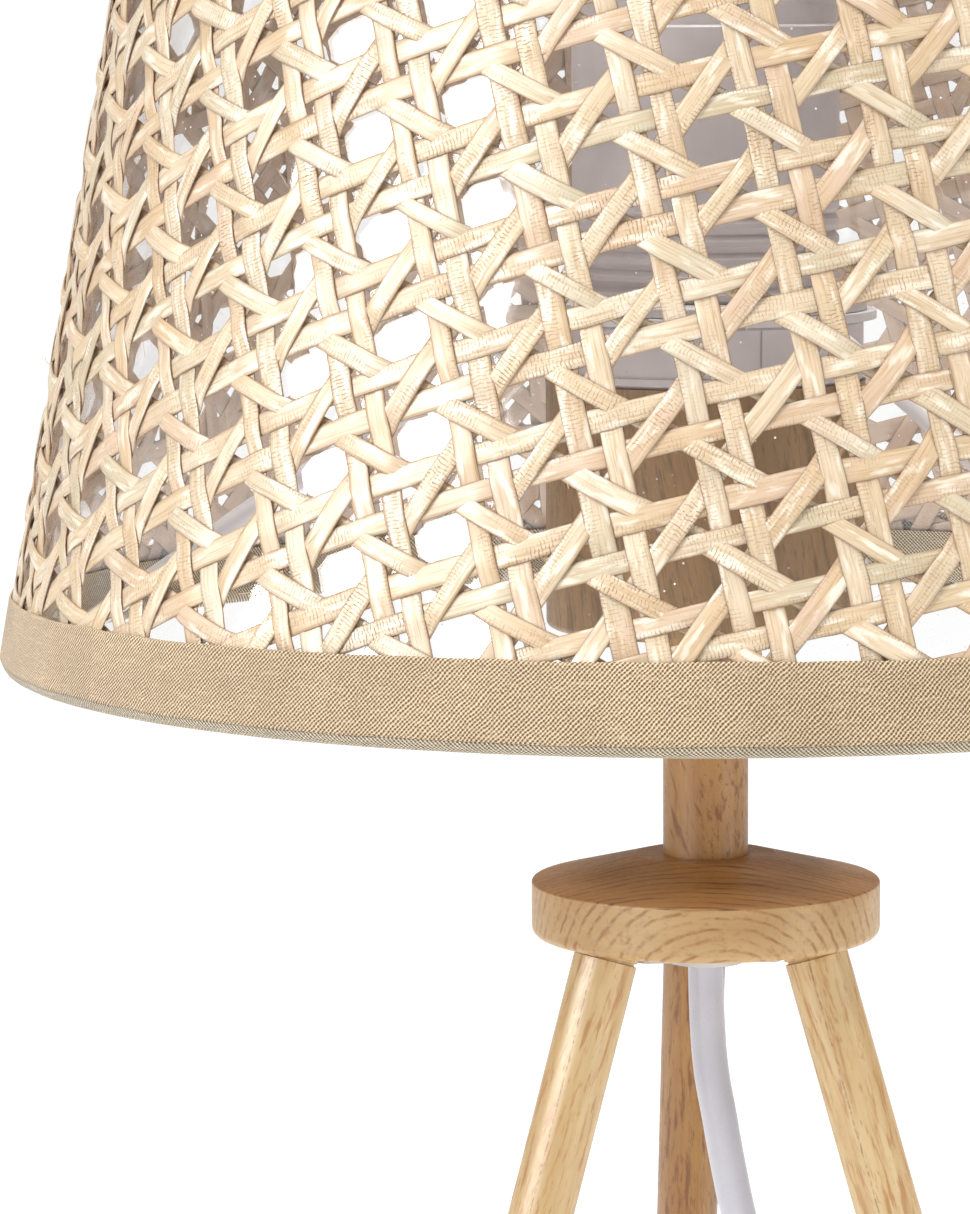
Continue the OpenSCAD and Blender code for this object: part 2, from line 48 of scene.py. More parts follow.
# ---------------------------------------------------------------- camera
EYE = Vector((0.00011, -0.74246, 0.34724))          # in metres
YAW, PITCH, ROLL = math.radians(-2.458), math.radians(-6.798), math.radians(-0.303)
LENS, SENSOR = 192.7, 36                            # in millimetres


def make_camera():
    ahead = Vector((math.sin(YAW) * math.cos(PITCH), math.cos(YAW) * math.cos(PITCH), math.sin(PITCH)))
    right = Vector((math.cos(YAW), -math.sin(YAW), 0))
    up = right.cross(ahead)
    side = math.cos(ROLL) * right + math.sin(ROLL) * up
    top = math.cos(ROLL) * up - math.sin(ROLL) * right
    data = bpy.data.cameras.new("camera")
    data.lens = LENS
    data.sensor_width = SENSOR
    data.sensor_fit = "HORIZONTAL"
    data.clip_start = 0.01
    data.clip_end = 3000
    camera = bpy.data.objects.new("camera", data)
    bpy.context.scene.collection.objects.link(camera)
    turn = Matrix((side, top, -ahead)).transposed()
    camera.matrix_world = Matrix.Translation(EYE) @ turn.to_4x4()
    bpy.context.scene.camera = camera


make_camera()


# ---------------------------------------------------------------- node graphs
def srgb(r, g, b):
    """A colour given as 0 to 255 screen values, as the linear one that nodes take."""
    return tuple(((c / 255 + 0.055) / 1.055) ** 2.4 if c > 10 else c / 3294.6 for c in (r, g, b)) + (1.0,)


class Graph:
    """A material's node tree with one Principled shader, and short calls that add nodes to it."""

    def __init__(self, name, **fixed):
        self.material = bpy.data.materials.new(name)
        self.material.use_nodes = True
        self.tree = self.material.node_tree
        self.tree.nodes.clear()
        self.output = self.tree.nodes.new("ShaderNodeOutputMaterial")
        self.shader = self.tree.nodes.new("ShaderNodeBsdfPrincipled")
        self.tree.links.new(self.shader.outputs[0], self.output.inputs[0])
        for key, value in fixed.items():
            self.put(self.shader.inputs[key.replace("_", " ")], value)

    def put(self, socket, value):
        if isinstance(value, bpy.types.NodeSocket):
            self.tree.links.new(value, socket)
        else:
            socket.default_value = value

    def add(self, kind, inputs=None, **props):
        node = self.tree.nodes.new("ShaderNode" + kind)
        for key, value in props.items():
            setattr(node, key, value)
        for key, value in (inputs or {}).items():
            self.put(node.inputs[key], value)
        return node

    def math(self, op, a, b=0.0, clamp=False):
        return self.add("Math", {0: a, 1: b}, operation=op, use_clamp=clamp).outputs[0]

    def plus(self, a, b):
        return self.math("ADD", a, b)

    def minus(self, a, b):
        return self.math("SUBTRACT", a, b)

    def times(self, a, b):
        return self.math("MULTIPLY", a, b)

    def place(self, scale, rotation=(0, 0, 0), vector=None):
        vector = vector or self.add("TexCoord").outputs["Object"]
        return self.add("Mapping", {"Vector": vector, "Scale": scale, "Rotation": rotation}).outputs[0]

    def millimetres(self):
        """The place on the piece, in millimetres."""
        return self.place((1000, 1000, 1000))

    def noise(self, vector, scale=1.0, detail=2.0, roughness=0.5, distortion=0.0):
        inputs = {"Vector": vector, "Scale": scale, "Detail": detail, "Roughness": roughness,
                  "Distortion": distortion}
        return self.add("TexNoise", inputs).outputs[0]

    def cells(self, vector, scale):
        """Distance to the middle of the nearest of many scattered spots."""
        return self.add("TexVoronoi", {"Vector": vector, "Scale": scale}).outputs["Distance"]

    def ramp(self, value, stops):
        node = self.add("ValToRGB", {0: value})
        points = node.color_ramp.elements
        while len(points) < len(stops):
            points.new(0.5)
        for point, (at, colour) in zip(points, stops):
            point.position = at
            point.color = colour if isinstance(colour, tuple) else (colour, colour, colour, 1)
        return node.outputs[0]

    def mix(self, share, a, b):
        node = self.add("Mix", data_type="RGBA")
        self.put(node.inputs[0], share)
        self.put(node.inputs[6], a)
        self.put(node.inputs[7], b)
        return node.outputs[2]

    def join(self, x, y, z=0.0):
        return self.add("CombineXYZ", {0: x, 1: y, 2: z}).outputs[0]

    def split(self, vector):
        return self.add("SeparateXYZ", {0: vector}).outputs

    def field(self, name):
        return self.add("Attribute", attribute_name=name).outputs["Fac"]

    def bump(self, height, depth_mm, strength):
        inputs = {"Height": height, "Distance": depth_mm * MM, "Strength": strength}
        return self.add("Bump", inputs).outputs[0]

    def finish(self, colour, roughness=None, normal=None):
        self.put(self.shader.inputs["Base Color"], colour)
        if roughness is not None:
            self.put(self.shader.inputs["Roughness"], roughness)
        if normal is not None:
            self.put(self.shader.inputs["Normal"], normal)
        return self.material


# ---------------------------------------------------------------- meshes
def mesh_object(name, points, faces, materials, fields=None):
    """A smooth mesh piece. points is in millimetres, and fields are per-point float attributes."""
    mesh = bpy.data.meshes.new(name)
    points = np.asarray(points, float) * MM
    faces = np.asarray(faces, np.int32)
    per = faces.shape[1]
    mesh.vertices.add(len(points))
    mesh.vertices.foreach_set("co", points.astype(np.float32).ravel())
    mesh.loops.add(faces.size)
    mesh.loops.foreach_set("vertex_index", faces.ravel())
    mesh.polygons.add(len(faces))
    mesh.polygons.foreach_set("loop_start", np.arange(0, faces.size, per, dtype=np.int32))
    mesh.polygons.foreach_set("use_smooth", np.full(len(faces), True))
    mesh.update(calc_edges=True)
    mesh.validate()
    for key, values in (fields or {}).items():
        mesh.attributes.new(key, "FLOAT", "POINT").data.foreach_set("value", np.asarray(values, np.float32))
    for material in materials:
        mesh.materials.append(material)
    piece = bpy.data.objects.new(name, mesh)
    bpy.context.scene.collection.objects.link(piece)
    return piece


def ring_faces(rings, sides, start=0):
    """Quads between rings of points, as for a tube, with quads that close both ends."""
    i = np.arange(rings - 1)[:, None] * sides
    k = np.arange(sides)[None, :]
    j = (k + 1) % sides
    walls = np.stack([i + k, i + j, i + sides + j, i + sides + k], -1).reshape(-1, 4)
    caps = []
    for base, flip in ((0, True), ((rings - 1) * sides, False)):
        for n in range(sides // 2 - 1):
            quad = [base + n, base + n + 1, base + sides - n - 2, base + sides - n - 1]
            caps.append(quad[::-1] if flip else quad)
    return np.concatenate([walls, np.array(caps, int).reshape(-1, 4)]) + start


# ---------------------------------------------------------------- cord
CORD_R = 2.6
# the route's points: down from the hub to the floor, through the switch, to the coil and then to the plug
RUN = [(0, 0, 206.8), (0.2, 0, 199), (0.8, 0, 191), (2, 0.2, 184), (3.4, 0.8, 176), (5.3, 1.8, 167),
       (9, 3.2, 155), (16, 5.5, 140), (23, 8, 123), (31, 10.5, 106), (40, 13, 88), (50, 15.5, 69),
       (61, 17.5, 50), (72.5, 19.5, 33), (82, 21.5, 20.5), (90, 24.5, 11.8), (96.5, 29, 6.5),
       (101.5, 35.5, 3.6), (104.3, 44, 2.8), (105, 52.5, 3.6), (105, 61, 5.9), (105, 69, 7)]
IN_SWITCH = [(105, y, 7) for y in (80, 93, 106, 118, 130, 143, 156)]
MIDDLE = [(105, 167, 7), (105, 175, 5.8), (105, 183, 4)]
TAIL = [(41.6, 180, 2.9), (40.5, 170, 2.7), (38.6, 160, 2.7), (36.3, 150, 3), (34.2, 141, 4.3),
        (32.4, 132, 6), (31.3, 124, 6.8), (31, 117, 6.85), (31, 108, 6.85), (31, 98, 6.85)]
COIL_X, COIL_Y, COIL_Z = 70.8, 190, 3.2            # middle of the coil, at its lowest turns
INNER_R, OUTER_R, ENTRY_R = 23.6, 28.9, 34.2       # the two columns of turns, and where the cord comes in
TURNS_UP, TURNS_DOWN = 4, 3
COIL_ANGLE = 2700                                  # degrees from the coil's first point to its last
ENTER, CROSS, DROP = 80, 60, 70                    # degrees over which the cord changes column or drops
COIL_STEPS = 18                                    # route points in each turn
TURN_PITCH = 5.3


def ease(t):
    t = min(max(t, 0.0), 1.0)
    return t * t * (3 - 2 * t)


def coil_route():
    """Two columns of turns: in at the floor, up the inner one, down the outer one and out at the floor."""
    points = []
    top = ENTER + TURNS_UP * 360
    last = top + TURNS_DOWN * 360
    for n in range(int(COIL_ANGLE / 360 * COIL_STEPS) + 1):
        turn = n * 360 / COIL_STEPS
        if turn < ENTER:
            r, z = ENTRY_R + (INNER_R - ENTRY_R) * ease(turn / ENTER), COIL_Z
        elif turn < top:
            r, z = INNER_R, COIL_Z + TURN_PITCH * (turn - ENTER) / 360
        else:
            r = INNER_R + (OUTER_R - INNER_R) * ease((turn - top) / CROSS)
            z = COIL_Z + TURNS_UP * TURN_PITCH - TURN_PITCH * (turn - top) / 360
            if turn > last:
                z = COIL_Z + TURN_PITCH * (1 - ease((turn - last) / DROP))
        a = math.radians(turn)
        points.append((COIL_X + r * math.cos(a), COIL_Y + r * math.sin(a), z))
    return points


def cord_material():
    g = Graph("cord_sheath", Coat_Weight=0.25, Coat_Roughness=0.12, IOR=1.5, Subsurface_Weight=0.12,
              Subsurface_Radius=(1.2, 1.1, 1.3), Subsurface_Scale=MM)
    where = g.millimetres()
    soft = g.noise(where, 0.06, 3)
    fine = g.noise(where, 2.6, 3)
    colour = g.ramp(soft, [(0.3, srgb(184, 184, 194)), (0.7, srgb(196, 196, 205))])
    dust = g.ramp(g.noise(where, 1.1, 4, 0.7), [(0.68, 0.0), (0.78, 0.35)])
    colour = g.mix(dust, colour, srgb(196, 192, 198))
    return g.finish(colour, g.ramp(fine, [(0.3, 0.26), (0.75, 0.4)]), g.bump(fine, 0.05, 0.35))


CORD = cord_material()


def make_cord():
    route = RUN + IN_SWITCH + MIDDLE + coil_route() + TAIL
    curve = bpy.data.curves.new("mains_cord", "CURVE")
    curve.dimensions = "3D"
    curve.resolution_u = 6
    curve.bevel_depth = CORD_R * MM
    curve.bevel_resolution = 7
    curve.use_fill_caps = True
    spline = curve.splines.new("BEZIER")
    spline.bezier_points.add(len(route) - 1)
    for point, at in zip(spline.bezier_points, route):
        point.co = Vector(at) * MM
        point.handle_left_type = point.handle_right_type = "AUTO"
    curve.materials.append(CORD)
    piece = bpy.data.objects.new("mains_cord", curve)
    bpy.context.scene.collection.objects.link(piece)
    length = sum((Vector(b) - Vector(a)).length for a, b in zip(route, route[1:])) * MM
    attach(piece, "stand")
    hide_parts("cord_run", "cord_middle", "cord_coil", "cord_tail")
    return piece, length


cord, cord_length = make_cord()


# ---------------------------------------------------------------- woven cane
SHADE_Z, SHADE_R = 251.4, 101.0             # height and radius of the wall's lower edge
SHADE_H = 150.0
WALL_SLOPE = 0.176667                       # how much the wall draws in for each step up
CONE = math.sin(math.atan(WALL_SLOPE))
FRONT_HOLE = np.array((-4.8, -544.95))      # a hole's middle near the front, on the unrolled wall
LATTICE_TURN = math.radians(12.67)
COLUMN, ROW = 15.1, 13.32                   # the lattice's steps
COLUMNS, ROWS, DIAGONALS = 26, 30, 56       # how many each way from the front: enough for all the wall
COLUMN_HALF, ROW_HALF = 2.1, 2.35           # half the distance between the strands of a pair
CANE_LOW, CANE_HIGH = 255.4, 397.4
CANE_MIDDLE = -0.42                         # the weave's middle surface, from the wall's outer face
OVER, DIAGONAL_OVER = 0.26, 0.46            # how far a strand rises and falls as it passes over and under
SEAM_LAP = math.radians(2.2)                # the weave's two ends overlap by this
LAP_EASE = 0.012                            # the seam's two layers part over this angle
LAP_OUTER, LAP_INNER = 0.28, -0.1           # and lie this far off the weave's middle
DRIFT_MIDDLE, DRIFT_SPAN = 330, 75          # heights that the web's drift is counted from
ALONG = np.array((math.cos(LATTICE_TURN), math.sin(LATTICE_TURN)))
DOWN = np.array((math.sin(LATTICE_TURN), -math.cos(LATTICE_TURN)))
ORIGIN = FRONT_HOLE - ALONG * COLUMN / 2 - DOWN * ROW / 2
FRONT_MIDDLE = np.array((0, -500.0))        # each strand is drawn both ways from the point nearest to this
STRAND_REACH, STRAND_STEP = 420, 1.15
OUTWARD_Z = 17.5                            # upward part of the wall's outward direction at its middle
# a strand's section, rounded on the outside, in shares of half its width and half its thickness
PROFILE = np.array([(-1, -0.1), (-0.94, 0.5), (-0.62, 0.85), (0.62, 0.85), (0.94, 0.5), (1, -0.1),
                    (0.82, -0.75), (-0.82, -0.75)])


def wall_r(z):
    return SHADE_R - (z - SHADE_Z) * WALL_SLOPE


def on_wall(flat, out):
    """Points of the unrolled wall, put on the cone at a distance out from its outer face."""
    s = np.hypot(flat[:, 0], flat[:, 1])
    azimuth = np.arctan2(flat[:, 0], -flat[:, 1]) / CONE
    r = s * CONE
    z = SHADE_Z + (SHADE_R - r) / WALL_SLOPE
    return np.stack([(r + out) * np.sin(azimuth), -(r + out) * np.cos(azimuth), z], 1)


def web_drift(flat):
    """How far the stretched web has moved off its even lattice, along each lattice direction."""
    s = np.hypot(flat[:, 0], flat[:, 1])
    side = np.sin(np.arctan2(flat[:, 0], -flat[:, 1]) / CONE)
    level = np.clip((SHADE_Z + (SHADE_R - s * CONE) / WALL_SLOPE - DRIFT_MIDDLE) / DRIFT_SPAN, -1.2, 1.2)
    along = -0.94 * side ** 2 - 2.77 * side ** 3 + 0.35 * side * level + 0.46 * level ** 2
    down = -2.08 * side ** 2 + 1.76 * side ** 3 - 1.08 * side * level - 0.26 * level ** 2
    return along, down


def unrolled(p, q):
    """Points of the unrolled wall at lattice coordinates p and q."""
    flat = ORIGIN + p[:, None] * ALONG + q[:, None] * DOWN
    for _ in range(3):
        along, down = web_drift(flat)
        flat = ORIGIN + (p - along)[:, None] * ALONG + (q - down)[:, None] * DOWN
    return flat


def swing(x, half):
    """Rises to 1 at half and falls to -1 at -half, and dies away beyond."""
    return np.sin(math.pi * x / (2 * half)) * np.exp(-(x / (2 * half)) ** 4)


def flat_wave(x):
    """A cosine with flattened tops."""
    return np.tanh(2.2 * np.cos(x)) / math.tanh(2.2)


def family(kind):
    """Start point, direction and height of each strand of one family, in lattice coordinates."""
    lines = []
    if kind == "upright":
        for i in range(-COLUMNS, COLUMNS + 1):
            for side in (-1, 1):
                lines.append(((i * COLUMN + side * COLUMN_HALF, 0), (0, 1),
                              lambda p, q, side=side: side * OVER
                              * swing((q + ROW / 2) % ROW - ROW / 2, ROW_HALF)))
    elif kind == "level":
        for j in range(-ROWS, ROWS + 1):
            for side in (-1, 1):
                lines.append(((0, j * ROW + side * ROW_HALF), (1, 0),
                              lambda p, q, side=side: -side * OVER
                              * swing((p + COLUMN / 2) % COLUMN - COLUMN / 2, COLUMN_HALF)))
    else:
        rise = -1 if kind == "rising" else 1
        long = math.hypot(COLUMN, ROW)
        for n in range(-DIAGONALS, DIAGONALS + 1):
            lines.append(((0, (n + 0.5) * ROW), (COLUMN / long, rise * ROW / long),
                          lambda p, q, rise=rise: -rise * DIAGONAL_OVER * flat_wave(TAU * q / ROW)))
    return lines


def wander(t, size, count=3):
    """A slow random sideways drift along a strand."""
    out = np.zeros_like(t)
    for n in range(count):
        out += rng.uniform(0.3, 1) * np.sin(TAU * t / rng.uniform(14, 60) + rng.uniform(0, TAU))
    return size * out / count


def weave(kind, width, thick, material):
    """All the strands of one family as one mesh."""
    low, high = wall_r(CANE_HIGH) / CONE, wall_r(CANE_LOW) / CONE
    edge = math.pi * CONE
    points, faces, start = [], [], 0
    fields = {"along": [], "across": [], "strand": [], "under_shade": [], "inner": []}
    for (p0, q0), (dp, dq), height in family(kind):
        root = ORIGIN + p0 * ALONG + q0 * DOWN
        nearest = -float(np.dot(root - FRONT_MIDDLE, dp * ALONG + dq * DOWN))
        t = np.arange(-STRAND_REACH, STRAND_REACH, STRAND_STEP) + nearest
        p, q = p0 + dp * t, q0 + dq * t
        drift = wander(t, 0.28 if kind in ("rising", "falling") else 0.22)
        lift = height(p, q)
        p, q = p - dq * drift, q + dp * drift
        flat = unrolled(p, q)
        s = np.hypot(flat[:, 0], flat[:, 1])
        turn = np.arctan2(flat[:, 0], -flat[:, 1])
        inside = (s > low) & (s < high) & (turn > -edge) & (turn < edge + SEAM_LAP * CONE)
        lap = np.clip((np.abs(turn) - edge + LAP_EASE) / LAP_EASE, 0, 1)
        lift = lift + np.where(turn > 0, LAP_OUTER, LAP_INNER) * lap
        cuts = np.flatnonzero(np.diff(np.concatenate([[0], inside.astype(int), [0]])))
        for a, b in zip(cuts[::2], cuts[1::2]):
            n = b - a
            if n < 5:
                continue
            line = flat[a:b]
            centre = on_wall(line, CANE_MIDDLE + lift[a:b])
            ahead = np.gradient(centre, axis=0)
            ahead /= np.linalg.norm(ahead, axis=1)[:, None]
            out = np.stack([centre[:, 0], centre[:, 1], np.full(n, OUTWARD_Z)], 1)
            out /= np.linalg.norm(out, axis=1)[:, None]
            out -= ahead * np.sum(out * ahead, 1)[:, None]
            out /= np.linalg.norm(out, axis=1)[:, None]
            across = np.cross(ahead, out)
            where = t[a:b]
            tip = wander(where, 0.09, 2)
            out, across = out + across * tip[:, None], across - out * tip[:, None]
            half_width = 0.5 * width * rng.uniform(0.88, 1.1) * (1 + wander(where, 0.07, 2))
            half_thick = 0.5 * thick * rng.uniform(0.9, 1.1)
            sideways = (half_width[:, None] * PROFILE[None, :, 0])[..., None]
            outward = (half_thick * PROFILE[None, :, 1])[..., None]
            shape = centre[:, None, :] + across[:, None, :] * sideways + out[:, None, :] * outward
            points.append(shape.reshape(-1, 3))
            faces.append(ring_faces(n, len(PROFILE), start))
            start += n * len(PROFILE)
            fields["along"].append(np.repeat(where, len(PROFILE)))
            fields["across"].append(np.tile(PROFILE[:, 0], n))
            fields["inner"].append(np.tile((PROFILE[:, 1] < -0.5).astype(float), n))
            fields["strand"].append(np.full(n * len(PROFILE), rng.uniform()))
            # how far the strand lies under the ones across it, which the cane material paints as shade
            under = np.clip(0.5 - lift[a:b] / (2 * DIAGONAL_OVER), 0, 1)
            fields["under_shade"].append(np.repeat(under, len(PROFILE)))
    fields = {key: np.concatenate(values) for key, values in fields.items()}
    piece = mesh_object("cane_" + kind, np.concatenate(points), np.concatenate(faces), [material], fields)
    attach(piece, "shade")
    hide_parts("cane_webbing")


CRACK_PITCH = 0.5           # distance between the cane's fine cracks


def cane_material():
    """Split cane: streaked and finely cracked skin with darker edges, and dull pith on the inside."""
    g = Graph("cane", IOR=1.5)
    along, across, strand = g.field("along"), g.field("across"), g.field("strand")
    under_shade, inner = g.field("under_shade"), g.field("inner")
    own = g.times(strand, 97.0)
    side = g.plus(across, g.times(strand, 53.0))

    def grain(length, wide, detail=2, roughness=0.5):
        """Noise stretched along the strand, with its own pattern on each strand."""
        where = g.join(g.times(along, length), g.times(side, wide), own)
        return g.noise(where, 1.0, detail, roughness)

    tone = g.noise(g.join(g.times(along, 0.035), own, own), 1.0, 2)
    tone = g.plus(g.times(g.minus(tone, 0.5), 0.9), strand)
    base = g.ramp(g.math("FRACT", tone), [
        (0.0, srgb(204, 178, 145)), (0.18, srgb(209, 189, 159)), (0.36, srgb(215, 198, 172)),
        (0.52, srgb(208, 185, 155)), (0.64, srgb(216, 201, 178)), (0.74, srgb(196, 185, 159)),
        (0.83, srgb(208, 189, 161)), (0.92, srgb(206, 180, 155)), (1.0, srgb(204, 178, 145))])
    streak = grain(0.11, 5.0, 4, 0.65)
    base = g.mix(g.ramp(streak, [(0.34, 0.7), (0.54, 0.0)]), base, srgb(176, 144, 102))
    edge_line = grain(0.2, 9.0, 2, 0.5)
    base = g.mix(g.ramp(edge_line, [(0.27, 0.6), (0.36, 0.0)]), base, srgb(158, 122, 84))
    # paler, glossier patches along the strands: the lower roughness is the skin's own gloss, the near-white
    # colour is painted highlight
    pale = grain(0.2, 1.3, 3)
    base = g.mix(g.ramp(pale, [(0.54, 0.0), (0.66, 0.75)]), base, srgb(240, 232, 216))
    # fine lines across the skin on most stretches, and darker cracks on a few
    bent = grain(0.6, 1.6)
    fine_line = g.math("SINE", g.plus(g.times(along, TAU / CRACK_PITCH), g.times(bent, 9.0)))
    broken = grain(2.4, 2.4)
    line = g.times(g.ramp(fine_line, [(0.5, 0.0), (0.95, 1.0)]), g.ramp(broken, [(0.42, 0.0), (0.54, 1.0)]))
    some = g.ramp(grain(0.07, 0.3), [(0.46, 0.0), (0.56, 1.0)])
    few = g.ramp(grain(0.05, 0.27), [(0.56, 0.0), (0.63, 1.0)])
    light_cracks = g.times(line, some)
    cracks = g.times(line, few)
    base = g.mix(g.times(light_cracks, 0.45), base, srgb(164, 130, 92))
    base = g.mix(g.times(cracks, 0.6), base, srgb(128, 90, 56))
    speck = grain(3.2, 3.4, 3, 0.7)
    base = g.mix(g.ramp(speck, [(0.69, 0.0), (0.76, 0.6)]), base, srgb(150, 112, 78))
    # painted shade: darker at the very edges, standing in for the shadow in the gaps between strands, and
    # where a strand runs under others
    edge_shade = g.math("POWER", g.math("ABSOLUTE", across), 9.0)
    base = g.mix(g.times(edge_shade, 0.85), base, srgb(112, 78, 48))
    base = g.mix(g.times(under_shade, 0.14), base, srgb(178, 142, 98))
    dull = g.ramp(grain(0.2, 1.0), [(0.3, srgb(196, 166, 142)), (0.7, srgb(214, 186, 162))])
    base = g.mix(inner, base, dull)
    rough = g.ramp(pale, [(0.4, 0.46), (0.66, 0.24)])
    height = g.minus(g.times(streak, 0.6), g.times(light_cracks, 0.8))
    return g.finish(base, rough, g.bump(height, 0.12, 0.7))


CANE = cane_material()
for kind, width, thick in (("upright", 3.15, 0.36), ("level", 3.1, 0.36), ("rising", 2.75, 0.34),
                           ("falling", 2.7, 0.34)):
    weave(kind, width, thick, CANE)


def stray_fibres(name, count, spots, material, thin, body, lengths):
    """Thin curved hairs, each a fine tapered tube. spots gives each root, its direction and the way out."""
    points, faces, start = [], [], 0
    rings, sides = 9, 4
    for root, ahead, out in spots(count):
        length = random.uniform(*lengths)
        curl, rise = random.uniform(-0.5, 0.5), random.uniform(0.1, 0.55)
        side = ahead.cross(out)
        for n in range(rings):
            t = n / (rings - 1)
            at = root + length * (ahead * t + side * curl * t * t + out * rise * t * (1.15 - t))
            r = thin * (1 - 0.75 * t)
            for k in range(sides):
                a = TAU * k / sides
                points.append(at + r * (math.cos(a) * side + math.sin(a) * out))
        faces.append(ring_faces(rings, sides, start))
        start += rings * sides
    piece = mesh_object(name, [tuple(p) for p in points], np.concatenate(faces), [material])
    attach(piece, body)
    return piece


def cane_hair_spots(count):
    """Roots all over the cane, leaning along its strands."""
    for _ in range(count):
        z = random.uniform(266, 392)
        azimuth = random.uniform(0, TAU)
        out = Vector((math.sin(azimuth), -math.cos(azimuth), 0))
        side = Vector((math.cos(azimuth), math.sin(azimuth), 0))
        tilt = random.choice((0.2, -0.9, 0.75, 1.7)) + random.uniform(-0.3, 0.3)
        ahead = side * math.cos(tilt) + Vector((0, 0, 1)) * math.sin(tilt)
        yield out * (wall_r(z) - 0.25) + Vector((0, 0, z)), ahead, out


hairs = stray_fibres("cane_hairs", 150, cane_hair_spots, CANE, 0.055, "shade", (2.5, 7.0))


# ---------------------------------------------------------------- fabric trims
TRIM_COLUMNS = 900
TRIM_LAP = math.radians(4.0)
LAP_START, LAP_RUN = math.radians(2.5), math.radians(2.0)     # where the upper end of a trim lifts off
LAP_LIFT = 0.36
BAND_SWAY, BAND_DROP = 0.8, 0.4     # the lower band's upper edge sways up at the front and down at the sides


def fabric_material(name, warp, weft, dark, thread, lean):
    """A woven cloth in the trim's own unrolled coordinates: bright floats over dark gaps, the gaps' dark
    being painted shade.
    """
    g = Graph(name, Roughness=0.85, IOR=1.45, Sheen_Weight=0.15, Sheen_Roughness=0.5)
    u, v = g.field("u"), g.field("v")
    where = g.join(u, v)
    drift = g.times(g.noise(where, 0.35, 2), 0.5)
    cross = g.times(g.plus(u, drift), TAU / thread)
    up = g.times(g.plus(v, drift), TAU / thread)
    plain = g.times(g.math("SINE", cross), g.math("SINE", up))
    float_line = g.math("SINE", g.plus(g.times(up, lean), cross))
    weave_height = g.plus(g.times(plain, 0.75), g.times(float_line, 0.6))
    fuzz = g.noise(g.join(g.times(u, 2.2), g.times(v, 3.4)), 1.0, 3, 0.7)
    slub = g.noise(g.join(g.times(u, 0.25), g.times(v, 2.2)), 1.0, 2)
    colour = g.ramp(weave_height, [(0.0, weft), (0.45, warp)])
    # painted shade in the lowest gaps between the threads
    colour = g.mix(g.ramp(g.plus(weave_height, 0.8), [(0.0, 1.0), (0.62, 0.0)]), colour, dark)
    colour = g.mix(g.ramp(fuzz, [(0.34, 0.5), (0.5, 0.0)]), colour, dark)
    colour = g.mix(g.ramp(slub, [(0.55, 0.0), (0.72, 0.3)]), colour, warp)
    wide = g.noise(where, 0.06, 3)
    colour = g.mix(g.ramp(wide, [(0.35, 0.16), (0.65, 0.0)]), colour, dark)
    height = g.plus(g.times(weave_height, 0.8), g.times(fuzz, 0.6))
    return g.finish(colour, None, g.bump(height, 0.1, 0.8))


def thread_material():
    g = Graph("trim_threads", Roughness=0.9)
    soft = g.noise(g.millimetres(), 0.5, 2)
    return g.finish(g.ramp(soft, [(0.35, srgb(150, 126, 92)), (0.65, srgb(222, 206, 178))]))


TWILL = fabric_material("trim_fabric", srgb(226, 202, 168), srgb(166, 140, 104), srgb(78, 58, 34),
                        thread=0.64, lean=1.0)
LINING = fabric_material("trim_lining", srgb(214, 202, 180), srgb(150, 134, 108), srgb(76, 62, 42),
                         thread=0.6, lean=-1.0)
THREADS = thread_material()


def trim_profile():
    """(out from the wall, up from the edge) of the outer band, the roll round the wire and the inner hem."""
    outer = [(0.1, 11.0), (0.16, 11.5), (0.3, 11.7), (0.46, 11.6), (0.52, 11.3)]
    outer += [(0.5, 11.3 - 0.45 * n) for n in range(1, 21)]
    outer += [(0.5, 2.0), (0.44, 1.72), (0.3, 1.62), (0.22, 1.75)]
    roll = []
    for n in range(19):
        a = math.radians(-2 - 11.2 * n)
        roll.append((-1.5 + 1.78 * math.cos(a), 1.9 + 1.85 * math.sin(a)))
    inner = [(-2.25, 3.4), (-2.0, 4.0), (-1.85, 4.6), (-1.8, 5.6), (-1.8, 6.8), (-1.8, 8.0), (-1.78, 8.7)]
    return outer, roll, inner


def ripples(azimuth, waves_round):
    """A random wave round the shade, the sum of a few that each go round a whole number of times."""
    return sum(rng.uniform(0.4, 1) * np.sin(k * azimuth + rng.uniform(0, TAU)) for k in waves_round)


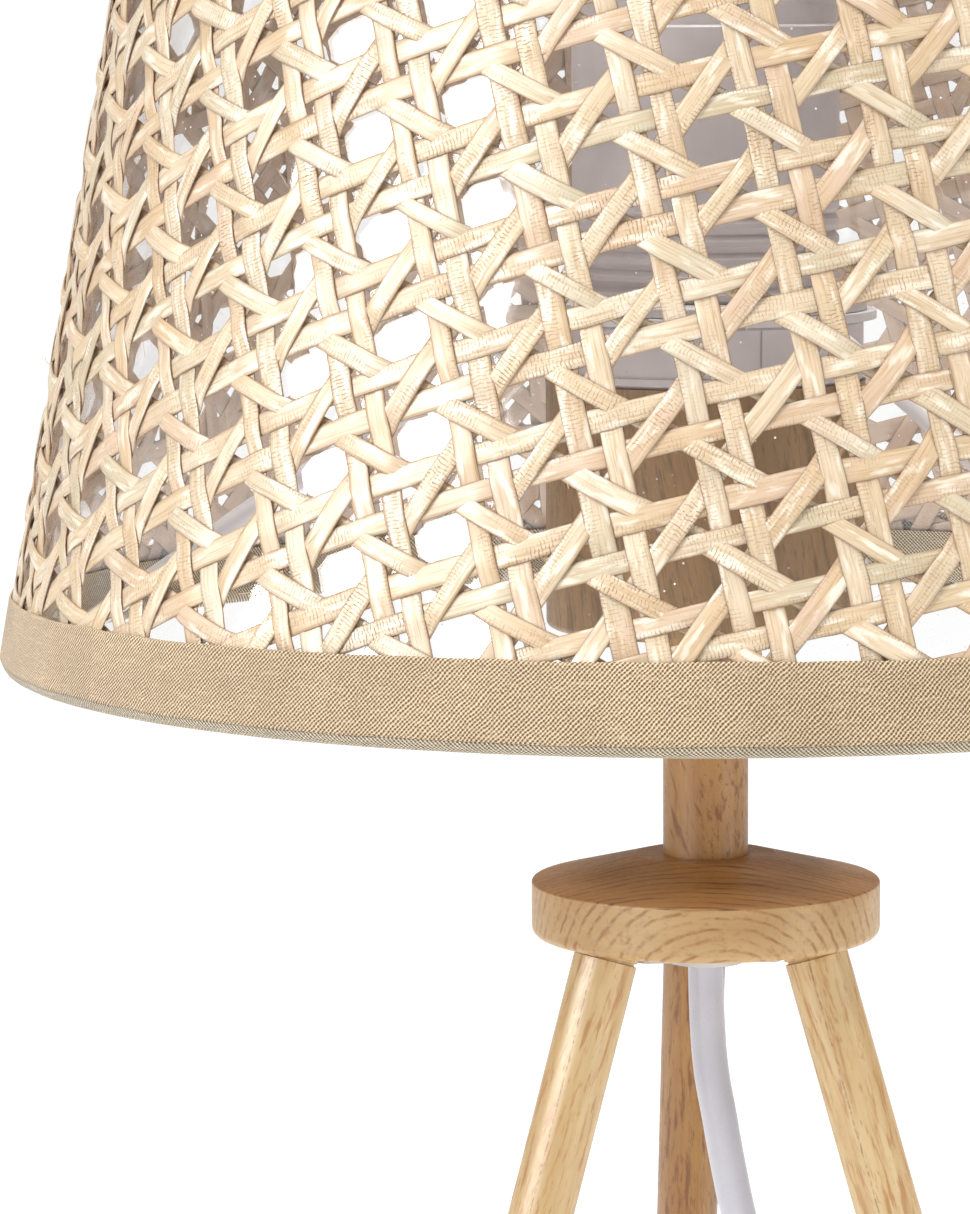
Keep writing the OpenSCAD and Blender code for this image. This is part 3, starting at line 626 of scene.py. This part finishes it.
def make_trim(name, edge_z, up):
    """One trim, from its edge up (1) or down (-1), with lapped ends at the back."""
    outer, roll, inner = trim_profile()
    profile = outer + roll + inner
    run = np.concatenate([[0], np.cumsum(np.hypot(*np.diff(np.array(profile), axis=0).T))])
    azimuth = math.pi + np.linspace(0, TAU + TRIM_LAP, TRIM_COLUMNS + 1)
    lapped = (azimuth - math.pi - TAU + LAP_START) / LAP_RUN
    extra = LAP_LIFT * np.array([ease(share) for share in lapped])
    wave = ripples(azimuth, (9, 14, 23, 37, 61)) * 0.035
    edge_wave = ripples(azimuth, (5, 11, 19, 43)) * 0.05
    points, fu, fv = [], [], []
    for column, a in enumerate(azimuth):
        for row, (out, high) in enumerate(profile):
            on_band = row < len(outer)
            grow = wave[column] * (1.0 if on_band else 0.6)
            if on_band:
                high = high + edge_wave[column] * (1 if high > 6 else 0.7)
                if up > 0:
                    high += (BAND_SWAY * math.cos(2 * a) - BAND_DROP) * ease((high - 2) / 8)
            z = edge_z + up * high
            r = wall_r(z) + out + (grow + extra[column]) * (1 if out > -1.5 else -0.4)
            points.append((r * math.sin(a), -r * math.cos(a), z))
            fu.append((a - math.pi) * SHADE_R)
            fv.append(run[row])
    rows = len(profile)
    i = np.arange(TRIM_COLUMNS)[:, None] * rows
    k = np.arange(rows - 1)[None, :]
    faces = np.stack([i + k, i + rows + k, i + rows + k + 1, i + k + 1], -1).reshape(-1, 4)
    if up < 0:
        faces = faces[:, ::-1]
    piece = mesh_object(name, points, faces, [TWILL, LINING], {"u": fu, "v": fv})
    lining = (faces % rows).min(axis=1) >= len(outer) - 2
    piece.data.polygons.foreach_set("material_index", lining.astype(np.int32))
    piece.data.update()
    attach(piece, "shade")
    width = float(run[-1]) * MM
    return piece, width, TAU * wall_r(edge_z) * MM


def fray_spots(count):
    """Roots along the crease between the band and the roll, leaning down and outward."""
    for _ in range(count):
        azimuth = random.uniform(0, TAU)
        out = Vector((math.sin(azimuth), -math.cos(azimuth), 0))
        side = Vector((math.cos(azimuth), math.sin(azimuth), 0))
        z = SHADE_Z + random.uniform(0.5, 1.9)
        lean = random.uniform(-1.2, 1.2)
        down = Vector((0, 0, 1)) * math.cos(lean) * random.uniform(0.1, 0.8)
        ahead = (side * math.sin(lean) - down).normalized()
        inward = 0.25 + 0.25 * (SHADE_Z + 1.9 - z)
        yield out * (wall_r(z) + 0.22 - inward) + Vector((0, 0, z)), ahead, out


bottom_trim, bottom_width, bottom_long = make_trim("trim_bottom", SHADE_Z, 1)
top_trim, top_width, top_long = make_trim("trim_top", SHADE_Z + SHADE_H, -1)
fray = stray_fibres("trim_fray", 300, fray_spots, THREADS, 0.035, "shade", (0.5, 1.6))
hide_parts("bottom_trim")
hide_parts("top_trim")


# ---------------------------------------------------------------- other materials
def clear_sheet_material():
    """Clear film: mirror-like where it is seen edge on, clear elsewhere, with small white bubbles whose
    white is painted glint.
    """
    g = Graph("clear_sheet", IOR=1.5)
    where = g.millimetres()
    # small white spots: real bubbles in the film, painted white to stand in for their glint
    small = g.math("LESS_THAN", g.cells(where, 0.55), 0.075)
    spread = g.noise(where, 0.05, 2)
    sparkle = g.times(small, g.ramp(spread, [(0.42, 0.0), (0.55, 1.0)]))
    fine = g.math("LESS_THAN", g.cells(where, 1.7), 0.07)
    sparkle = g.math("MAXIMUM", sparkle, g.times(fine, 0.5))
    facing = g.add("LayerWeight", {"Blend": 0.5}).outputs["Facing"]
    gloss = g.plus(g.times(g.math("POWER", facing, 4.0), 0.8), 0.045)
    cover = g.math("MAXIMUM", gloss, sparkle, clamp=True)
    g.put(g.shader.inputs["Metallic"], g.math("SUBTRACT", 1.0, sparkle, clamp=True))
    clear = g.add("BsdfTransparent", {"Color": (0.99, 0.99, 0.99, 1)})
    both = g.add("MixShader", {0: cover, 1: clear.outputs[0], 2: g.shader.outputs[0]})
    g.tree.links.new(both.outputs[0], g.output.inputs[0])
    ripple = g.noise(where, 0.09, 2)
    tint = g.ramp(spread, [(0.3, srgb(240, 236, 233)), (0.7, srgb(250, 248, 246))])
    return g.finish(tint, g.ramp(spread, [(0.4, 0.04), (0.7, 0.1)]), g.bump(ripple, 1.2, 0.35))


def wood_material(name, turns, tones, scale, rough, stretch, lean=0.0, flecks=0.65, seam=None):
    """Printed wood film: long soft grain and short flecks, along z once the piece is turned by turns.

    tones are the light, middle and dark grain and the flecks. scale and flecks are the flecks' fineness and
    strength, stretch is how long the grain is, and seam is the angle of the film's joint.
    """
    light, mid, dark, red = tones
    g = Graph(name, IOR=1.48)
    where = g.millimetres()
    for turn in turns:
        where = g.place((1, 1, 1), turn, vector=where)
    long = g.place((1, 1, stretch), vector=where)
    wide = g.noise(long, 0.16, 3, 0.55, 0.6)
    lines = g.noise(long, 0.75, 4, 0.6, 0.4)
    leant = g.place((1, 1, 1), (lean, lean, 0), vector=where)
    pores = g.noise(g.place((1, 1, 0.16), vector=leant), 2.1, 3, 0.6)
    short = g.noise(g.place((1, 1, 0.11), vector=leant), scale, 4, 0.6, 0.2)
    colour = g.ramp(wide, [(0.3, mid), (0.62, light)])
    colour = g.mix(g.ramp(lines, [(0.38, 0.6), (0.56, 0.0)]), colour, mid)
    colour = g.mix(g.ramp(lines, [(0.28, 0.5), (0.42, 0.0)]), colour, dark)
    colour = g.mix(g.ramp(short, [(0.53, 0.0), (0.64, flecks)]), colour, red)
    colour = g.mix(g.ramp(pores, [(0.58, 0.0), (0.7, flecks)]), colour, dark)
    if seam is not None:
        x, y, z = g.split(where)
        angle = g.math("ARCTAN2", y, g.minus(x, LEG_AXIS))
        waver = g.times(g.minus(g.noise(g.join(0.0, 0.0, z), 0.25, 2), 0.5), 0.12)
        off = g.math("ABSOLUTE", g.minus(g.plus(angle, waver), seam))
        dots = g.ramp(g.noise(g.join(0.0, 1.0, z), 1.3, 2), [(0.4, 0.1), (0.6, 0.6)])
        line = g.times(g.math("LESS_THAN", off, 0.025), dots)
        colour = g.mix(line, colour, srgb(118, 78, 46))
    fine = g.noise(where, 1.4, 3)
    roughness = g.ramp(fine, [(0.3, rough - 0.06), (0.7, rough + 0.08)])
    height = g.minus(g.times(lines, 0.5), g.times(pores, 0.4))
    return g.finish(colour, roughness, g.bump(height, 0.1, 0.35))


HUB_SIDE_TOP = 218.8           # above this height the hub shows the long grain of its top
HUB_ARCH_Z = 207.0             # middle of the arches on its side
HUB_R = 25.2
TOP_RING, SIDE_RING = 1.75, 1.5


def hub_material():
    """Turned disc: long grain along x over the top, and nested arches of end grain round the side; the top's
    darker colours are painted shade.
    """
    g = Graph("wood_hub", IOR=1.48)
    where = g.millimetres()
    x, y, z = g.split(where)
    warp = g.noise(g.place((0.05, 0.09, 0.09), vector=where), 1.0, 4, 0.55)
    # the top: arched lines across the disc
    bow = g.times(g.times(x, x), 0.004)
    row = g.plus(g.plus(y, bow), g.times(warp, 5.0))
    top_rings = g.math("SINE", g.times(row, TAU / TOP_RING))
    top_break = g.noise(g.place((0.08, 0.7, 0.7), vector=where), 1.0, 3, 0.6)
    # the side: arches about a point under the hub, once on the front and once on the back
    turn = g.plus(g.math("ARCTAN2", y, x), math.pi / 2 - 0.1)
    part = g.math("FRACT", g.plus(g.times(turn, 1 / math.pi), 0.5))
    run = g.times(g.math("ABSOLUTE", g.minus(part, 0.5)), HUB_R * math.pi)
    down = g.minus(z, HUB_ARCH_Z)
    spread = g.times(g.times(run, run), 0.55)
    reach = g.math("SQRT", g.plus(spread, g.times(down, down)))
    side_rings = g.math("SINE", g.times(g.plus(reach, g.times(warp, 3.5)), TAU / SIDE_RING))
    side_break = g.noise(g.place((0.35, 0.35, 0.5), vector=where), 1.0, 3, 0.6)
    on_top = g.math("GREATER_THAN", z, HUB_SIDE_TOP)
    rings = g.mix(on_top, side_rings, top_rings)
    breaks = g.mix(on_top, side_break, top_break)
    cloud = g.noise(g.place((0.03, 0.12, 0.12), vector=where), 1.0, 3)
    # the top's darker ground and darker grain lines are painted shade cast by the lampshade; the side's
    # colours are the wood's own
    colour = g.ramp(cloud, [(0.34, srgb(164, 129, 80)), (0.64, srgb(182, 150, 102))])
    colour = g.mix(on_top, colour, g.ramp(cloud, [(0.34, srgb(148, 104, 56)), (0.64, srgb(170, 128, 78))]))
    line = g.times(g.ramp(rings, [(0.3, 0.0), (0.98, 1.0)]), g.ramp(breaks, [(0.4, 0.1), (0.6, 1.0)]))
    line_colour = g.mix(on_top, srgb(138, 84, 38), srgb(92, 46, 16))
    colour = g.mix(g.times(line, 0.8), colour, line_colour)
    short = g.noise(g.place((0.5, 1.6, 0.9), vector=where), 1.0, 3, 0.6)
    colour = g.mix(g.ramp(short, [(0.54, 0.0), (0.68, 0.4)]), colour, srgb(146, 92, 48))
    pores = g.noise(g.place((0.6, 3.0, 2.4), vector=where), 1.0, 3, 0.6)
    colour = g.mix(g.ramp(pores, [(0.62, 0.0), (0.72, 0.3)]), colour, srgb(130, 82, 44))
    fine = g.noise(where, 1.4, 3)
    height = g.minus(fine, g.times(line, 0.5))
    return g.finish(colour, g.ramp(fine, [(0.3, 0.32), (0.7, 0.46)]), g.bump(height, 0.1, 0.3))


def plastic_material(name, light, dark, rough, coat=0.0):
    """Moulded plastic, cloudy and lightly scuffed."""
    g = Graph(name, IOR=1.49, Coat_Weight=coat, Coat_Roughness=0.15)
    where = g.millimetres()
    cloud = g.noise(where, 0.12, 3)
    fine = g.noise(where, 2.2, 3, 0.6)
    scuff = g.noise(g.place((0.5, 0.5, 3), vector=where), 0.7, 4, 0.7)
    colour = g.ramp(cloud, [(0.3, dark), (0.7, light)])
    colour = g.mix(g.ramp(scuff, [(0.66, 0.0), (0.78, 0.2)]), colour, dark)
    roughness = g.ramp(fine, [(0.3, rough - 0.06), (0.7, rough + 0.1)])
    return g.finish(colour, roughness, g.bump(fine, 0.03, 0.4))


def metal_material(name, colour, tint, rough, stretch):
    """Brushed metal: stretch is how the brushed lines are scaled along x, y and z."""
    g = Graph(name, Metallic=1.0)
    where = g.millimetres()
    brushed = g.noise(g.place(stretch, vector=where), 1.6, 4, 0.6)
    stain = g.noise(where, 0.3, 3)
    shade = g.mix(g.ramp(stain, [(0.45, 0.0), (0.7, 0.5)]), colour, tint)
    roughness = g.ramp(brushed, [(0.3, rough - 0.08), (0.7, rough + 0.12)])
    return g.finish(shade, roughness, g.bump(brushed, 0.03, 0.35))


def paint_material():
    """White paint with a fine orange peel and a few dull chips."""
    g = Graph("white_metal", IOR=1.5)
    where = g.millimetres()
    peel = g.noise(where, 1.3, 3)
    chip = g.ramp(g.noise(where, 0.6, 5, 0.7), [(0.72, 0.0), (0.76, 0.4)])
    colour = g.mix(chip, srgb(206, 202, 203), srgb(176, 172, 170))
    return g.finish(colour, g.ramp(peel, [(0.3, 0.34), (0.7, 0.46)]), g.bump(peel, 0.05, 0.4))


def felt_material():
    g = Graph("felt", Roughness=0.95, Sheen_Weight=0.4)
    where = g.millimetres()
    hair = g.noise(g.place((1, 2.5, 4), vector=where), 2.2, 5, 0.75, 1.0)
    colour = g.ramp(hair, [(0.35, srgb(58, 54, 50)), (0.65, srgb(98, 93, 87))])
    return g.finish(colour, None, g.bump(hair, 0.2, 0.8))


SPLAY = 17.4
CUP_LEAN = 12
LEG_AXIS = 79.2                # the legs' axis from the z axis once a leg is turned upright
POLE_TONES = (srgb(176, 132, 78), srgb(158, 114, 64), srgb(120, 74, 36), srgb(122, 72, 36))
CUP_TONES = (srgb(150, 116, 74), srgb(128, 97, 60), srgb(86, 62, 36), srgb(94, 68, 38))
LEG_TONES = (srgb(204, 179, 135), srgb(190, 157, 108), srgb(166, 124, 76), srgb(168, 112, 64))
# the rear leg's tones: the same wood as the other legs, painted darker as painted shade under the hub
REAR_SHADE_TONES = (srgb(160, 119, 66), srgb(142, 99, 50), srgb(118, 72, 34), srgb(112, 64, 28))
# each leg's direction, tones, strength of the flecks and angle of the seam
LEGS = {"leg_left": (215, LEG_TONES, 0.7, 0.61), "leg_right": (335, LEG_TONES, 0.7, -1.4),
        "leg_rear": (95, REAR_SHADE_TONES, 0.85, 1.2)}


def leg_material(node_name):
    turn, tones, flecks, seam = LEGS[node_name]
    upright = [(0, 0, math.radians(-turn)), (0, math.radians(SPLAY), 0)]
    return wood_material("wood_" + node_name, upright, tones, scale=1.0, rough=0.36, stretch=0.12, lean=0.06,
                         flecks=flecks, seam=seam)


MATERIALS = {
    "clear_sheet": clear_sheet_material(),
    "wood_hub": hub_material(),
    "wood_pole": wood_material("wood_pole", [], POLE_TONES, scale=1.0, rough=0.38, stretch=0.14, lean=0.3,
                               flecks=0.75),
    "wood_cup": wood_material("wood_cup", [(0, math.radians(CUP_LEAN), 0)], CUP_TONES, scale=0.7, rough=0.42,
                              stretch=0.08),
    "white_metal": paint_material(),
    "holder_plastic": plastic_material("holder_plastic", srgb(200, 192, 192), srgb(184, 176, 176), 0.36),
    "pale_plastic": plastic_material("pale_plastic", srgb(208, 203, 201), srgb(194, 188, 186), 0.4),
    "white_plastic": plastic_material("white_plastic", srgb(236, 236, 238), srgb(226, 225, 228), 0.3, 0.2),
    "lead_sheath": plastic_material("lead_sheath", srgb(120, 80, 52), srgb(98, 62, 40), 0.32),
    "steel": metal_material("steel", srgb(198, 198, 200), srgb(168, 168, 166), 0.3, (1, 1, 6)),
    "brass": metal_material("brass", srgb(214, 178, 104), srgb(176, 134, 70), 0.26, (1, 1, 5)),
    "plated_pins": metal_material("plated_pins", srgb(212, 210, 206), srgb(184, 180, 172), 0.2, (1, 5, 1)),
    "felt": felt_material(),
    "cord_sheath": CORD,
}


# ---------------------------------------------------------------- materials on the CAD nodes
NODE_SLOTS = {
    "wood_hub": ["hub"], "wood_pole": ["pole"], "wood_cup": ["socket_cup"], "clear_sheet": ["shade_liner"],
    "steel": ["hub_washer", "hub_nut", "leg_studs", "threaded_rod", "cup_washer", "cup_nut",
              "switch_screws"],
    "pale_plastic": ["hub_underplate", "cord_grommet", "holder_insert", "shade_lock_ring"],
    "white_metal": ["carrier_ring", "carrier_arm_1", "carrier_arm_2", "carrier_arm_3", "bottom_ring",
                    "top_ring"],
    "holder_plastic": ["holder_cap", "holder_shell"],
    "felt": ["foot_pads"], "lead_sheath": ["holder_leads"],
    "brass": ["terminal_screws", "screw_shell", "centre_contact"], "cord_sheath": ["cord_inner"],
    "white_plastic": ["cord_tie", "switch_base", "switch_cover", "switch_rocker", "switch_reliefs",
                      "plug_relief", "plug_body"],
    "plated_pins": ["plug_pins"],
}


def paint(name, material):
    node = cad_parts[name]
    slots = node.material_slots
    if not slots:
        node.data.materials.append(material)
    for slot in slots:
        slot.material = material


for slot, names in NODE_SLOTS.items():
    for name in names:
        paint(name, MATERIALS[slot])
for name in LEGS:
    paint(name, leg_material(name))


# ---------------------------------------------------------------- floor and light
def floor_material():
    g = Graph("floor", Roughness=0.9, Emission_Color=(1, 1, 1, 1), Emission_Strength=0.2)
    soft = g.noise(g.place((6, 6, 6)), 0.6, 3)
    return g.finish(g.ramp(soft, [(0.3, 0.9), (0.7, 0.92)]))


def make_floor():
    """A round floor that reaches the horizon."""
    radius, n = 600000.0, 48
    ring = [(radius * math.cos(TAU * k / n), radius * math.sin(TAU * k / n), 0) for k in range(n)]
    points = [(0, 0, 0)] + ring
    faces = [(0, 1 + k, 1 + (k + 1) % n) for k in range(n)]
    floor = mesh_object("floor", points, faces, [floor_material()])


def aimed(direction):
    """The turn that points a light along a direction."""
    return direction.to_track_quat("-Z", "Y").to_matrix().to_4x4()


def area_light(name, at, aim, size, watts):
    data = bpy.data.lights.new(name, "AREA")
    data.shape = "RECTANGLE"
    data.size, data.size_y = size
    data.energy = watts
    light = bpy.data.objects.new(name, data)
    light.matrix_world = Matrix.Translation(at) @ aimed(Vector(aim) - Vector(at))
    bpy.context.scene.collection.objects.link(light)
    return light


def make_lights():
    world = bpy.data.worlds.new("studio")
    world.use_nodes = True
    tree = world.node_tree
    back = tree.nodes["Background"]
    path = tree.nodes.new("ShaderNodeLightPath")
    level = tree.nodes.new("ShaderNodeMapRange")
    level.inputs["To Min"].default_value = 0.38
    level.inputs["To Max"].default_value = 1.0
    tree.links.new(path.outputs["Is Camera Ray"], level.inputs["Value"])
    tree.links.new(level.outputs[0], back.inputs["Strength"])
    back.inputs["Color"].default_value = (1, 1, 1, 1)
    bpy.context.scene.world = world
    sun = bpy.data.lights.new("sky_sun", "SUN")
    sun.energy = 2.1
    sun.angle = math.radians(20)
    lamp = bpy.data.objects.new("sky_sun", sun)
    lamp.matrix_world = aimed(Vector((0.4, 0.5, -0.9)))
    bpy.context.scene.collection.objects.link(lamp)
    area_light("softbox_left", (-0.75, -0.75, 0.5), (0, 0, 0.26), (0.5, 0.9), 3)
    glare = area_light("softbox_glare", (-0.82, -0.57, 0.63), (0, -0.05, 0.32), (0.8, 0.55), 20)
    glare.visible_diffuse = False
    area_light("softbox_right", (0.7, -0.35, 0.4), (0, 0, 0.28), (0.25, 0.9), 2)
    area_light("softbox_above", (0, 0.05, 1.15), (0, 0, 0.3), (0.4, 0.4), 9)


make_floor()
make_lights()
scene = bpy.context.scene
scene.view_settings.view_transform = "Standard"
scene.view_settings.look = "None"
